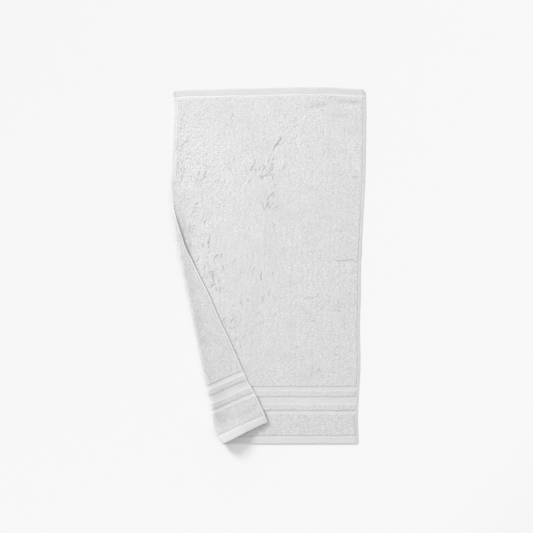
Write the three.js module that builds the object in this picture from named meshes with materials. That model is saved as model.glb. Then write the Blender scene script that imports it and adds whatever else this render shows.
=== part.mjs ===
// Hand towel, white cotton terry, lying flat with one long side folded over on a slant.
// Units are millimetres, +Z is up. The towel rests on Z = 0; its origin is under the middle of its
// outline. +Y runs along its length to the plain end, and the bordered end is at -Y.
// Every point of the cloth has two numbers: u, across from the left selvedge, and v, along from
// the bordered end. The functions below say how thick the cloth is there and where it lies.
import * as THREE from "three";

// Driving dimensions
const WIDTH = 492;
const LENGTH = 905;
const SKEW = 0.021; // how far the long sides lean to +X per millimetre of length
const SELVEDGE = 6.2; // width of the turned-in side hems
const SELVEDGE_THICK = 2.3;
const STITCHED = { off: 0.2, deep: 0.65, wide: 1.4 }; // the sewn groove just inside a side hem
const STEP = 1.5; // how far a change of thickness takes to happen
const RIM = 0.6; // share of the thickness left at the very end of the cloth
const RIM_WIDTH = 3;
const SIDE_RIM = 0.28; // the same at its sides, which are rolled more tightly
const SIDE_RIM_WIDTH = 1.6;
const PILE_THICK = 3.6;

// The weave along the length, from the bordered end to the plain end.
const ZONES = [
  { name: "hem", from: 0, to: 19.2, thick: 3 },
  { name: "hem_seam", from: 19.2, to: 22, thick: 1.7 },
  { name: "lower_terry", from: 22, to: 77, thick: 3.5 },
  { name: "flat_border_1", from: 77, to: 86.5, thick: 1.4 },
  { name: "ridge_1", from: 86.5, to: 101, thick: 3.6 },
  { name: "flat_border_2", from: 101, to: 121.5, thick: 1.4 },
  { name: "ridge_2", from: 121.5, to: 136.5, thick: 3.6 },
  { name: "flat_border_3", from: 136.5, to: 147.5, thick: 1.4 },
  { name: "main_terry", from: 147.5, to: 885, thick: PILE_THICK },
  { name: "top_seam", from: 885, to: 888, thick: 2.0 },
  { name: "top_hem", from: 888, to: LENGTH, thick: 2.6 },
];

// Extra width of the left side hem, which was turned in more towards the plain end.
const LEFT_HEM = [
  { v: 560, extra: -2.4 },
  { v: 640, extra: 3.1 },
];

// How far the two long sides stray from straight, at distances v along the towel.
const SIDES = [
  { v: 0, left: -9, right: 1.7 },
  { v: 27, left: -9.5, right: 0.6 },
  { v: 57, left: -6.5, right: -1.3 },
  { v: 95, left: -3.7, right: -1.4 },
  { v: 140, left: -4.7, right: 0 },
  { v: 181, left: -4.8, right: 1.6 },
  { v: 215, left: -5.3, right: 1.7 },
  { v: 250, left: -5.1, right: 0.5 },
  { v: 303, left: -3.9, right: -1.7 },
  { v: 365, left: -5.3, right: -0.8 },
  { v: 427, left: -4.4, right: -1.8 },
  { v: 488, left: -4, right: -1.1 },
  { v: 573, left: 0.4, right: 0.9 },
  { v: 675, left: 1.3, right: 4.1 },
  { v: 815, left: 3.1, right: 3.6 },
  { v: 857, left: 4.2, right: 2.7 },
  { v: LENGTH, left: 0.9, right: 1.6 },
];

// How far the plain end bows outward, at distances u across it.
const TOP_END = [
  { u: 0, out: -4 },
  { u: 38, out: -1.8 },
  { u: 115, out: -0.8 },
  { u: 140, out: 1 },
  { u: 191, out: 1.1 },
  { u: 298, out: 4.1 },
  { u: 405, out: 4.1 },
  { u: 432, out: 2.2 },
  { u: WIDTH, out: 0 },
];
const TOP_END_REACH = 260; // the bow fades to nothing this far from the plain end

// Rounding of the corners, by the distance over which each is cut in.
const CORNERS = [
  { name: "plain_right", u: WIDTH, v: LENGTH, round: 15 },
  { name: "plain_left", u: 0, v: LENGTH, round: 8 },
  { name: "border_right", u: WIDTH, v: 0, round: 5 },
  { name: "border_left", u: 0, v: 0, round: 4 },
];

// The slanting fold. Its axis starts beside the left selvedge and runs down to the right.
const FOLD = { u: 2.4, v: 672.2, heading: 11.75 };
// Along the axis: where the cloth leaves the table (lead), measured outward from the axis, the
// radius it turns over at, how far the roll is pressed down (1 is round), and how far the cloth
// beside it slopes up to it.
const BEND = [
  { along: -70, lead: -3.5, radius: 20, press: 0.5, rise: 0 },
  { along: -30, lead: -9, radius: 20, press: 0.5, rise: 0.5 },
  { along: 0, lead: -11.9, radius: 18, press: 0.42, rise: 1.5 },
  { along: 30, lead: -11, radius: 17, press: 0.34, rise: 2.8 },
  { along: 60, lead: -7.7, radius: 14, press: 0.32, rise: 4.2 },
  { along: 90, lead: -1.6, radius: 10.5, press: 0.32, rise: 5.2 },
  { along: 120, lead: 4.7, radius: 8.2, press: 0.36, rise: 5.2 },
  { along: 150, lead: 9.2, radius: 7, press: 0.46, rise: 4.4 },
  { along: 180, lead: 12.5, radius: 6.3, press: 0.62, rise: 3 },
  { along: 210, lead: 13.5, radius: 5.2, press: 0.85, rise: 1.6 },
  { along: 240, lead: 14.4, radius: 4.6, press: 1, rise: 0.7 },
  { along: 330, lead: 13.8, radius: 4.6, press: 1, rise: 0 },
  { along: 420, lead: 14.2, radius: 4.6, press: 1, rise: 0 },
  { along: 480, lead: 14.1, radius: 4.7, press: 1, rise: 0 },
  { along: 510, lead: 13, radius: 5.5, press: 1, rise: 0 },
  { along: 540, lead: 11, radius: 6.5, press: 1, rise: 0 },
  { along: 570, lead: 9.6, radius: 6.5, press: 1, rise: 0 },
  { along: 600, lead: 11.3, radius: 6, press: 1, rise: 0 },
  { along: 630, lead: 11.1, radius: 7, press: 1, rise: 0 },
  { along: 660, lead: 5.5, radius: 10, press: 1, rise: 0 },
  { along: 690, lead: -6.1, radius: 12.5, press: 1, rise: 0 },
];
const DROP = 14; // degrees by which the flap slopes down behind the roll
const LANDING = 60; // radius at which it flattens out again
const LAYERS = 0.8; // clear gap between the flap and the cloth under it
const BLEND = 15; // the cloth rises off its rest over this distance before the roll
const REACH = 30; // the slope up to the roll is this wide
const SAG = 0.8; // how much lower the flat borders of the flap hang than its ridges

// The bordered end of the flap is lifted: extra height by v, then its share by distance from roll.
const LIFT = [
  { v: 0, up: 10 },
  { v: 22, up: 7 },
  { v: 45, up: 2 },
  { v: 68, up: 0 },
  { v: LENGTH, up: 0 },
];
const LIFT_SHARE = [
  { off: 0, share: 0 },
  { off: 35, share: 0.5 },
  { off: 80, share: 1 },
  { off: 120, share: 0.66 },
  { off: 165, share: 0.25 },
];

// Soft troughs and ridges left in the cloth by folding: centre, half-length, half-width, heading in
// degrees from +X, and height (a trough is below zero).
const RIPPLES = [
  { name: "mid_crease", u: 440, v: 468, half: 60, wide: 10, heading: 0, up: -0.9 },
  { name: "mid_crest", u: 440, v: 484, half: 60, wide: 12, heading: 0, up: 0.8 },
  { name: "centre_upper", u: 268, v: 700, half: 75, wide: 12, heading: 100, up: -0.7 },
  { name: "centre_crest", u: 244, v: 560, half: 110, wide: 20, heading: 92, up: 0.8 },
  { name: "centre_lower", u: 236, v: 400, half: 80, wide: 12, heading: 91, up: -0.5 },
  { name: "pucker_a", u: 375, v: 858, half: 24, wide: 8, heading: 8, up: -1.3 },
  { name: "pucker_b", u: 450, v: 864, half: 24, wide: 9, heading: -4, up: -1.5 },
  { name: "pucker_c", u: 428, v: 829, half: 28, wide: 10, heading: 0, up: -0.9 },
  { name: "pucker_crest", u: 425, v: 848, half: 60, wide: 12, heading: 0, up: 0.9 },
  { name: "side_wave_a", u: 440, v: 344, half: 50, wide: 13, heading: 2, up: -0.7 },
  { name: "side_wave_b", u: 450, v: 262, half: 40, wide: 13, heading: 0, up: -0.7 },
  { name: "flap_dent", u: 36, v: 300, half: 22, wide: 18, heading: 60, up: -0.8 },
];

// The grid the cloth is meshed on: how many cells fill each stretch.
const FLAP_LEAST = 26; // the left columns spread over at least this width
const FLAP_SHARES = [0.14, 0.28, 0.41, 0.52, 0.61, 0.69, 0.76, 0.81, 0.86, 0.905, 0.945, 0.975, 1];
const MAIN_CELLS = 17;
const ROW_STRETCHES = [
  { to: 700, step: 15.8 },
  { to: 885, step: 31 },
];

const radians = (degrees) => (degrees * Math.PI) / 180;
const clamp01 = (x) => Math.min(1, Math.max(0, x));
const smooth = (a, b, x) => {
  const t = clamp01((x - a) / (b - a));
  return t * t * (3 - 2 * t);
};
const mix = (a, b, t) => a + (b - a) * t;

// A table's column at x, eased between its rows and level beyond its ends.
function read(table, by, column, x) {
  const last = table.length - 1;
  if (x <= table[0][by]) return table[0][column];
  if (x >= table[last][by]) return table[last][column];
  const i = table.findIndex((row) => row[by] > x) - 1;
  const slope = (k) => {
    if (k <= 0 || k >= last) return 0;
    const span = table[k + 1][by] - table[k - 1][by];
    return (table[k + 1][column] - table[k - 1][column]) / span;
  };
  const span = table[i + 1][by] - table[i][by];
  const t = (x - table[i][by]) / span;
  const from = table[i][column];
  const to = table[i + 1][column];
  const rise = to - from;
  const a = span * slope(i) - rise;
  const b = -span * slope(i + 1) + rise;
  return mix(from, to, t) + t * (1 - t) * (a * (1 - t) + b * t);
}

// Width of the side hem on the side of u.
function hemWidth(u, v) {
  return u < WIDTH / 2 ? SELVEDGE + read(LEFT_HEM, "v", "extra", v) : SELVEDGE;
}

// Thickness of the zones at v.
function zoneThickness(v) {
  return ZONES.slice(1).reduce(
    (thick, zone) => mix(thick, zone.thick, smooth(zone.from - STEP / 2, zone.from + STEP / 2, v)),
    ZONES[0].thick,
  );
}

// Thickness of the cloth at (u, v).
function thickness(u, v) {
  const side = Math.min(u, WIDTH - u);
  const hem = hemWidth(u, v);
  const inside = smooth(hem + STITCHED.off, hem + STITCHED.off + STEP, side);
  const groove = Math.exp(-(((side - hem - STITCHED.off) / STITCHED.wide) ** 2));
  const thick = mix(SELVEDGE_THICK, zoneThickness(v), inside) - STITCHED.deep * groove;
  const sideShare = mix(SIDE_RIM, 1, Math.sqrt(clamp01(side / SIDE_RIM_WIDTH)));
  const endShare = mix(RIM, 1, Math.sqrt(clamp01(Math.min(v, LENGTH - v) / RIM_WIDTH)));
  return thick * sideShare * endShare;
}

// The corner's cut: a square corner pressed to a rounded one.
function rounded(u, v) {
  let [ru, rv] = [u, v];
  CORNERS.forEach(({ u: cu, v: cv, round }) => {
    const p = 1 - Math.abs(u - cu) / round;
    const q = 1 - Math.abs(v - cv) / round;
    if (p <= 0 || q <= 0) return;
    ru = cu + Math.sign(u - cu || WIDTH / 2 - cu) * round * (1 - p * Math.sqrt(1 - (q * q) / 2));
    rv = cv + Math.sign(v - cv || LENGTH / 2 - cv) * round * (1 - q * Math.sqrt(1 - (p * p) / 2));
  });
  return [ru, rv];
}

// Where (u, v) lies when nothing is folded.
function spread(u, v) {
  const [ru, rv] = rounded(u, v);
  const across = ru / WIDTH;
  const left = read(SIDES, "v", "left", v);
  const right = read(SIDES, "v", "right", v);
  const bow = read(TOP_END, "u", "out", ru) * smooth(LENGTH - TOP_END_REACH, LENGTH, v);
  return [ru + SKEW * rv + mix(left, right, across), rv + bow];
}

// The fold's axis on the table: its start, its direction and the outward direction.
const AXIS = (() => {
  const angle = radians(FOLD.heading);
  const start = [FOLD.u + SKEW * FOLD.v, FOLD.v];
  const down = [Math.sin(angle), -Math.cos(angle)];
  const out = [-Math.cos(angle), -Math.sin(angle)];
  return { start, down, out };
})();

// A point of the table in the fold's own terms: distance along the axis and outward from it.
function aboutFold([x, y]) {
  const [dx, dy] = [x - AXIS.start[0], y - AXIS.start[1]];
  return {
    along: dx * AXIS.down[0] + dy * AXIS.down[1],
    outward: dx * AXIS.out[0] + dy * AXIS.out[1],
  };
}

function fromFold(along, outward) {
  return [0, 1].map((k) => AXIS.start[k] + along * AXIS.down[k] + outward * AXIS.out[k]);
}

// The section of a round fold: how far out and up the cloth's middle is after a length past the
// lead, and the angle it has turned through. It lands at the height gap.
function section(length, radius, gap) {
  const drop = radians(DROP);
  const turned = Math.PI + drop;
  if (length <= radius * turned) {
    const turn = Math.max(0, length / radius);
    return { out: radius * Math.sin(turn), up: radius * (1 - Math.cos(turn)), turn };
  }
  const end = { out: radius * Math.sin(turned), up: radius * (1 - Math.cos(turned)) };
  const landing = LANDING * (1 - Math.cos(drop));
  const slope = Math.max(0, (end.up - gap - landing) / Math.sin(drop));
  const past = length - radius * turned;
  const straight = Math.min(past, slope);
  const level = Math.min(drop, (past - straight) / LANDING);
  const turn = turned - level;
  const flat = past - straight - level * LANDING;
  return {
    out: end.out - straight * Math.cos(drop) - LANDING * (Math.sin(turn) - Math.sin(turned)) - flat,
    up:
      end.up -
      straight * Math.sin(drop) +
      LANDING * (Math.cos(turn) - Math.cos(turned)),
    turn,
  };
}

// Height of the ripples at (u, v).
function ripple(u, v) {
  return RIPPLES.reduce((sum, r) => {
    const angle = radians(r.heading);
    const [du, dv] = [u - r.u, v - r.v];
    const run = (du * Math.cos(angle) + dv * Math.sin(angle)) / r.half;
    const side = (dv * Math.cos(angle) - du * Math.sin(angle)) / r.wide;
    return sum + r.up * Math.exp(-(run ** 4) - side * side);
  }, 0);
}

// Where the cloth is at (u, v): its upper face and its lower face as they were before folding.
function faces(u, v) {
  const place = aboutFold(spread(u, v));
  const lead = read(BEND, "along", "lead", place.along);
  const radius = read(BEND, "along", "radius", place.along);
  const press = read(BEND, "along", "press", place.along);
  const past = place.outward - lead;
  const rise = read(BEND, "along", "rise", place.along) * smooth(-REACH, radius, past);
  const thick = thickness(u, v);
  const wave = ripple(u, v);
  const free = smooth(-BLEND, 0, past);
  const middle = mix(thick, PILE_THICK, free) / 2 + Math.max(0, wave) * (1 - free);
  if (past <= 0) {
    const [x, y] = fromFold(place.along, place.outward);
    const top = middle + thick / 2 + Math.min(0, wave);
    return { upper: [x, y, top + rise], lower: [x, y, middle - thick / 2 + rise] };
  }
  const at = section(past, radius, (PILE_THICK + LAYERS) / press);
  const share = read(LIFT_SHARE, "off", "share", past);
  const flat = clamp01((PILE_THICK - zoneThickness(v)) / 2) * smooth(70, 80, v);
  const sag = SAG * flat * smooth(radius, 3 * radius, past);
  const up = middle + rise + press * at.up - sag + read(LIFT, "v", "up", v) * share;
  const [nx, nz] = [press * Math.sin(at.turn), -Math.cos(at.turn)];
  const side = (half) => {
    const off = half / Math.hypot(nx, nz);
    const [x, y] = fromFold(place.along, lead + at.out + nx * off);
    return [x, y, up + nz * off];
  };
  return { upper: side(-thick / 2), lower: side(thick / 2 + wave) };
}

// Distance u at which row v leaves the table.
function leadOf(v) {
  let [low, high] = [-200, WIDTH];
  for (let i = 0; i < 40; i += 1) {
    const u = (low + high) / 2;
    const { along, outward } = aboutFold(spread(u, v));
    if (outward > read(BEND, "along", "lead", along)) low = u;
    else high = u;
  }
  return (low + high) / 2;
}

// The rows of the grid: one on each side of every change of thickness, others evenly between.
function rowList() {
  const steps = ZONES.slice(1).map((zone) => zone.from);
  const rows = [0, RIM_WIDTH, LENGTH - RIM_WIDTH, LENGTH];
  steps.forEach((v) => rows.push(v - STEP / 2, v + STEP / 2));
  ZONES.forEach(({ from, to }) => {
    const step = (ROW_STRETCHES.find((s) => from < s.to - 200) || { step: 31 }).step;
    const most = to - from > 200 ? step : 15;
    const cells = Math.ceil((to - from - STEP) / most);
    if (to - from > 200) return;
    for (let i = 1; i < cells; i += 1) rows.push(from + STEP / 2 + ((to - from - STEP) * i) / cells);
  });
  const main = ZONES.find((zone) => zone.name === "main_terry");
  let start = main.from + STEP / 2;
  ROW_STRETCHES.forEach(({ to, step }) => {
    const end = Math.min(to, main.to - STEP / 2);
    const cells = Math.round((end - start) / step);
    for (let i = 1; i <= cells; i += 1) rows.push(mix(start, end, i / cells));
    start = end;
  });
  rows.sort((a, b) => a - b);
  return rows.filter((v, i) => i === 0 || v - rows[i - 1] > 0.3);
}

// The columns of the grid on row v.
function columnList(v) {
  const lead = leadOf(v);
  const flap = FLAP_LEAST + Math.log1p(Math.exp((lead - FLAP_LEAST) / 4)) * 4;
  const edges = [0, RIM_WIDTH];
  const grooves = [-STEP, 0, STEP].map((off) => STITCHED.off + off);
  const left = hemWidth(0, v);
  const columns = [...edges, ...grooves.map((off) => left + off)];
  const inner = columns[columns.length - 1];
  FLAP_SHARES.forEach((share) => columns.push(mix(inner, flap, share)));
  const far = WIDTH - SELVEDGE - grooves[2];
  for (let i = 1; i <= MAIN_CELLS; i += 1) columns.push(mix(flap, far, i / MAIN_CELLS));
  [...grooves.slice(0, 2)].reverse().forEach((off) => columns.push(WIDTH - SELVEDGE - off));
  [...edges].reverse().forEach((off) => columns.push(WIDTH - off));
  return columns;
}

// One closed sheet: the upper faces, the lower faces and a rim round them.
function sheet() {
  const rows = rowList();
  const grid = rows.map((v) => columnList(v).map((u) => faces(u, v)));
  const [tall, wide] = [grid.length, grid[0].length];
  const places = [];
  grid.forEach((row) => row.forEach((point) => places.push(...point.upper)));
  grid.forEach((row) => row.forEach((point) => places.push(...point.lower)));
  const upper = (j, i) => j * wide + i;
  const lower = (j, i) => tall * wide + j * wide + i;
  const index = [];
  const quad = (a, b, c, d) => index.push(a, b, c, a, c, d);
  for (let j = 0; j + 1 < tall; j += 1) {
    for (let i = 0; i + 1 < wide; i += 1) {
      quad(upper(j, i), upper(j, i + 1), upper(j + 1, i + 1), upper(j + 1, i));
      quad(lower(j, i), lower(j + 1, i), lower(j + 1, i + 1), lower(j, i + 1));
    }
  }
  for (let i = 0; i + 1 < wide; i += 1) {
    quad(lower(0, i), lower(0, i + 1), upper(0, i + 1), upper(0, i));
    quad(upper(tall - 1, i), upper(tall - 1, i + 1), lower(tall - 1, i + 1), lower(tall - 1, i));
  }
  for (let j = 0; j + 1 < tall; j += 1) {
    quad(upper(j, 0), upper(j + 1, 0), lower(j + 1, 0), lower(j, 0));
    quad(lower(j, wide - 1), lower(j + 1, wide - 1), upper(j + 1, wide - 1), upper(j, wide - 1));
  }
  const geometry = new THREE.BufferGeometry();
  geometry.setAttribute("position", new THREE.Float32BufferAttribute(places, 3));
  geometry.setIndex(index);
  geometry.computeBoundingBox();
  const box = geometry.boundingBox;
  geometry.translate(-(box.min.x + box.max.x) / 2, -(box.min.y + box.max.y) / 2, -box.min.z);
  geometry.computeVertexNormals();
  return geometry;
}

const TERRY = new THREE.MeshStandardMaterial({ color: 0xe6e5e2, roughness: 0.95, metalness: 0 });

const towel = new THREE.Mesh(sheet(), TERRY);
towel.name = "towel";

const group = new THREE.Group();
group.name = "hand_towel";
group.add(towel);

export default group;
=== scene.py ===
"""Hand towel in white cotton terry: two raised ridges in flat borders near one end, hems all round,
and the left side folded over on a slant. Lengths in the tables are millimetres."""

import math

import bmesh
import bpy
import numpy as np
from bpy.props import FloatProperty, FloatVectorProperty, IntProperty, PointerProperty
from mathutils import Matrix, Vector


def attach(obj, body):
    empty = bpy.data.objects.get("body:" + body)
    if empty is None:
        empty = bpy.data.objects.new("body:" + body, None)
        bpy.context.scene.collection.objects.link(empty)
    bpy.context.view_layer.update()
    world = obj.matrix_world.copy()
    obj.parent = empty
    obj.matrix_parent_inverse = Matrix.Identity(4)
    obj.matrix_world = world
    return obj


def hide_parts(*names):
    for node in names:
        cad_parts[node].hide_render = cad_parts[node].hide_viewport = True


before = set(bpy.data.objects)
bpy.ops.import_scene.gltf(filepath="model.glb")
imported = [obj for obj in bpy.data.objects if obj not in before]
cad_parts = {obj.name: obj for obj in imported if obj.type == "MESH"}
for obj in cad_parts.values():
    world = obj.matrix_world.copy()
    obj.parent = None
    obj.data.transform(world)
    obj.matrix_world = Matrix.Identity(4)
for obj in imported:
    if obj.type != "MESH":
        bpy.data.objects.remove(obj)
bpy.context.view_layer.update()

bl_info = {
    "name": "Hand Towel",
    "version": (1, 0, 0),
    "blender": (4, 5, 0),
    "location": "View3D > Sidebar > Towel",
    "description": "Builds a terry hand towel that lies with one side folded over",
    "category": "Add Mesh",
}

MM = 0.001

# The stage, in metres, and the camera's sensor, in millimetres.
KEY_AT = (-2.30, 2.01, 1.91)
KEY_SIZE = 1.2
FLOOR_HALF = 6
FLOOR_AT = -0.0002
CAMERA_AT = (-0.0050, -0.0021)
SENSOR = 36


def table(columns, *rows):
    """A short table as one array for each named column."""
    return {
        name: np.array([row[i] for row in rows], float)
        for i, name in enumerate(columns.split())
    }


# The weave along the length, from the bordered end: where each zone starts, how thick it is,
# whether it carries loops, and how light it looks. The plain end's seam is painted lighter: a
# painted highlight where the edge of the pile above it catches the light.
ZONES = table(
    "start thick loops tone",
    (0, 3, 0, 1),  # hem
    (19.2, 1.5, 0, 0.97),  # its seam
    (22, 3.5, 1, 0.99),  # lower terry
    (77, 1.4, 0, 1),  # flat border
    (86.5, 3.6, 1, 1.015),  # ridge
    (101, 1.4, 0, 1),  # flat border
    (121.5, 3.6, 1, 1.015),  # ridge
    (136.5, 1.4, 0, 0.99),  # flat border
    (147.5, 3.6, 1, 1),  # main terry
    (885.6, 2.0, 0, 1.15),  # seam of the plain end
    (888, 2.6, 0, 0.92),  # hem of the plain end
)
STEP = 1.5  # how long a change from one zone to the next takes
WAVER = 0.6  # how far the edges of the zones stray from straight
BORDERS_FROM = (70, 80)  # where the lower terry gives way to the flat borders

# The side hems, the sewn groove just inside them, and the edges, which thin out to a rim.
HEM_THICK = 2.3
LEFT_HEM = table("v wider", (560, -2.4), (640, 3.1))
FULL_OFF = 1.4  # how far inside a side hem the cloth has its full thickness
LOOPS_OFF = 0.4  # how far inside it the loops begin
GROOVE_OFF = 0.2
GROOVE_DEEP = 0.5
GROOVE_WIDE = 1.4
RIMS = table(
    "reach power thin",
    (1.6, 0.5, 0.28),  # left side
    (4.5, 0.75, 0.28),  # right side
    (3, 0.5, 0.6),  # ends
)

# How far the long sides stray from straight.
SIDES = table(
    "v left right",
    (0, -9, 1.7),
    (27, -9.5, 0.6),
    (57, -6.5, -1.3),
    (95, -3.7, -1.4),
    (140, -4.7, 0),
    (181, -4.8, 1.6),
    (215, -5.3, 1.7),
    (250, -5.1, 0.5),
    (303, -3.9, -1.7),
    (365, -5.3, -0.8),
    (427, -4.4, -1.8),
    (488, -4, -1.1),
    (573, 0.4, 0.9),
    (675, 1.3, 4.1),
    (815, 3.1, 3.6),
    (857, 4.2, 2.7),
    (905, 0.9, 1.6),
)
# How far the plain end bows outward.
PLAIN_END = table(
    "u out",
    (0, -4),
    (38, -1.8),
    (115, -0.8),
    (140, 1),
    (191, 1.1),
    (298, 4.1),
    (405, 4.1),
    (432, 2.2),
    (492, 0),
)
PLAIN_END_REACH = 260
CORNERS = table("u v round", (492, 905, 15), (0, 905, 8), (492, 0, 5), (0, 0, 4))

# The slanting fold: its axis, and along it where the cloth leaves the table, the radius it turns
# over at, how far the roll is pressed down, and how far the cloth beside it slopes up to it.
FOLD_START = (2.4, 672.2)
FOLD_HEADING = 11.75
BEND = table(
    "along lead radius press rise",
    (-70, -3.5, 20, 0.5, 0),
    (-30, -9, 20, 0.5, 0.5),
    (0, -11.9, 18, 0.42, 1.5),
    (30, -11, 17, 0.34, 2.8),
    (60, -7.7, 14, 0.32, 4.2),
    (90, -1.6, 10.5, 0.32, 5.2),
    (120, 4.7, 8.2, 0.36, 5.2),
    (150, 9.2, 7, 0.46, 4.4),
    (180, 12.5, 6.3, 0.62, 3),
    (210, 13.5, 5.2, 0.85, 1.6),
    (240, 14.4, 4.6, 1, 0.7),
    (330, 13.8, 4.6, 1, 0),
    (420, 14.2, 4.6, 1, 0),
    (480, 14.1, 4.7, 1, 0),
    (510, 13, 5.5, 1, 0),
    (540, 11, 6.5, 1, 0),
    (570, 9.6, 6.5, 1, 0),
    (600, 11.3, 6, 1, 0),
    (630, 11.1, 7, 1, 0),
    (660, 5.5, 10, 1, 0),
    (690, -6.1, 12.5, 1, 0),
)
DROP = math.radians(14)  # how steeply the flap comes down from the roll
LANDING = 60  # radius in which it levels out again
LAYERS = 0.8  # gap between the flap and the cloth below it
BLEND = 15  # how far before the roll the pile counts as unpressed
REACH = 30  # how far before the roll the cloth begins to slope up
SAG = 0.8  # how much lower the flat borders of the flap hang
SAG_FROM = (1, 3)  # in radii past the lead
# The bordered end of the flap is lifted, by its place along the cloth and by the distance from the
# roll.
LIFT = table("v up", (0, 10), (22, 7), (45, 2), (68, 0), (905, 0))
LIFT_SHARE = table("off share", (0, 0), (35, 0.5), (80, 1), (120, 0.66), (165, 0.25))

# Soft troughs and ridges left by folding.
RIPPLES = table(
    "u v half wide heading up",
    (440, 468, 60, 10, 0, -0.9),
    (440, 484, 60, 12, 0, 0.8),
    (268, 700, 75, 12, 100, -0.7),
    (244, 560, 110, 20, 92, 0.8),
    (236, 400, 80, 12, 91, -0.5),
    (375, 858, 24, 8, 8, -1.3),
    (450, 864, 24, 9, -4, -1.5),
    (428, 829, 28, 10, 0, -0.9),
    (425, 848, 60, 12, 0, 0.9),
    (440, 344, 50, 13, 2, -0.7),
    (450, 262, 40, 13, 0, -0.7),
    (36, 300, 22, 18, 60, -0.8),
)

# Places where the pile has parted: both ends of each crack, how wide it gapes and how deep it is.
CRACKS = table(
    "u0 v0 u1 v1 wide deep",
    (278, 778, 272, 769, 2.0, 1.7),
    (272, 769, 263, 755, 2.2, 2.1),
    (263, 755, 261, 745, 1.8, 1.5),
    (261, 732, 260, 722, 1.7, 1.4),
    (259, 716, 256, 708, 2.0, 1.8),
    (254, 702, 252, 690, 1.7, 1.4),
    (255, 688, 245, 682, 1.8, 1.7),
    (235, 710, 239, 702, 1.6, 1.5),
    (239, 702, 232, 696, 1.6, 1.5),
    (214, 725, 213, 711, 1.8, 1.9),
    (213, 711, 203, 697, 1.9, 2.0),
    (237, 684, 230, 674, 1.8, 1.9),
    (262, 641, 257, 633, 2.0, 2.0),
    (257, 633, 247, 623, 2.3, 2.2),
    (250, 618, 249, 605, 1.8, 1.6),
    (236, 613, 240, 598, 1.6, 1.4),
    (268, 562, 268, 549, 1.6, 1.3),
    (90, 682, 78, 670, 1.8, 1.5),
    (82, 713, 97, 701, 1.6, 1.3),
    (160, 731, 160, 721, 1.6, 1.3),
    (202, 672, 197, 664, 1.6, 1.3),
    (154, 839, 149, 826, 1.6, 1.2),
    (108, 529, 105, 519, 1.9, 1.8),
    (105, 519, 106, 501, 2.1, 2.2),
    (54, 565, 56, 537, 1.6, 1.3),
    (83, 473, 75, 463, 1.8, 1.5),
    (120, 440, 120, 412, 1.8, 1.5),
    (124, 409, 115, 400, 2.3, 2.2),
    (97, 455, 98, 425, 1.6, 1.3),
    (174, 473, 169, 460, 1.6, 1.3),
    (242, 440, 240, 417, 1.8, 1.6),
    (246, 376, 245, 361, 1.6, 1.3),
    (162, 295, 182, 296, 1.6, 1.3),
    (355, 855, 376, 861, 1.6, 1.0),
    (365, 851, 392, 863, 1.6, 1.0),
    (372, 845, 385, 846, 1.4, 1.1),
    (348, 371, 391, 376, 1.4, 1.0),
    (412, 341, 448, 338, 1.4, 1.0),
    (430, 465, 468, 468, 2.0, 1.6),
    (468, 468, 483, 463, 2.0, 1.8),
)
# Where more, shorter cracks are strewn: the middle of the patch, its size, their number, length,
# lean from the towel's length in degrees and depth.
STREWN = table(
    "u v wide tall count long lean deep",
    (28, 745, 34, 170, 26, 8, 20, 1.3),
    (62, 684, 70, 40, 13, 9, 27, 1.3),
    (105, 700, 90, 90, 10, 8, 15, 1.1),
    (232, 690, 60, 70, 12, 9, 20, 1.3),
    (250, 610, 50, 60, 7, 8, 20, 1.2),
    (80, 560, 90, 120, 14, 8, 15, 1.4),
    (105, 430, 80, 130, 18, 9, 5, 1.5),
    (230, 640, 120, 180, 14, 8, 10, 1.2),
    (240, 420, 110, 160, 14, 9, 4, 1.3),
    (190, 300, 120, 110, 16, 8, 40, 1.4),
    (380, 640, 180, 430, 30, 10, 82, 0.9),
    (400, 300, 150, 260, 22, 10, 86, 1.0),
)
STREWN_SEED = 17
STREWN_TURN = 16  # degrees by which their leans differ
STREWN_LENGTH = (0.5, 1.5)
STREWN_DEPTH = (0.6, 1.2)
CRACK_GAPE = 0.35  # how much wider a deeper one is
CRACK_REACH = 9  # how far off a crack the pile still gives way
CRACK_WAVES = ((1.1, 2.2), (0.5, 0.9))  # how far a crack strays, and over what length
CRACK_TAPER = (0.5, 2.6)  # its depth at an end, and how fast it grows from there
LIP_OFF = 1
LIP_WIDE = 1.2
LIP_MOST = 1.5
PUSHED = 0.8  # how far loops are pushed aside, for each millimetre of depth
PUSHED_WIDE = 1.8

# Smooth random swells: how wide each kind is, and its seed.
SWELLS = {
    "zone edges": (40, 61),
    "weave tone": (30, 8),
    "streaks": (2.5, 9),
    "terry lumps": (6.5, 3),
    "flat lumps": (9, 4),
    "small heights": (4.2, 21),
    "large heights": (11, 22),
    "turned clumps": (40, 51),
    "clumping": (45, 52),
}


def eased(rows, by, column, x):
    """A table's column at x, eased between its rows and level beyond its ends."""
    xs, ys = rows[by], rows[column]
    slopes = np.zeros(len(xs))
    slopes[1:-1] = (ys[2:] - ys[:-2]) / (xs[2:] - xs[:-2])
    x = np.clip(x, xs[0], xs[-1])
    i = np.clip(np.searchsorted(xs, x, side="right") - 1, 0, len(xs) - 2)
    span = xs[i + 1] - xs[i]
    t = (x - xs[i]) / span
    rise = ys[i + 1] - ys[i]
    a = span * slopes[i] - rise
    b = rise - span * slopes[i + 1]
    return ys[i] + rise * t + t * (1 - t) * (a * (1 - t) + b * t)


def smooth(a, b, x):
    """0 before a, 1 after b, and eased between them."""
    t = np.clip((x - a) / (b - a), 0, 1)
    return t * t * (3 - 2 * t)


def mix(a, b, t):
    return a + (b - a) * t


def bell(x, wide):
    """1 at x = 0, and 0 well off it."""
    return np.exp(-((x / wide) ** 2))


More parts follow.
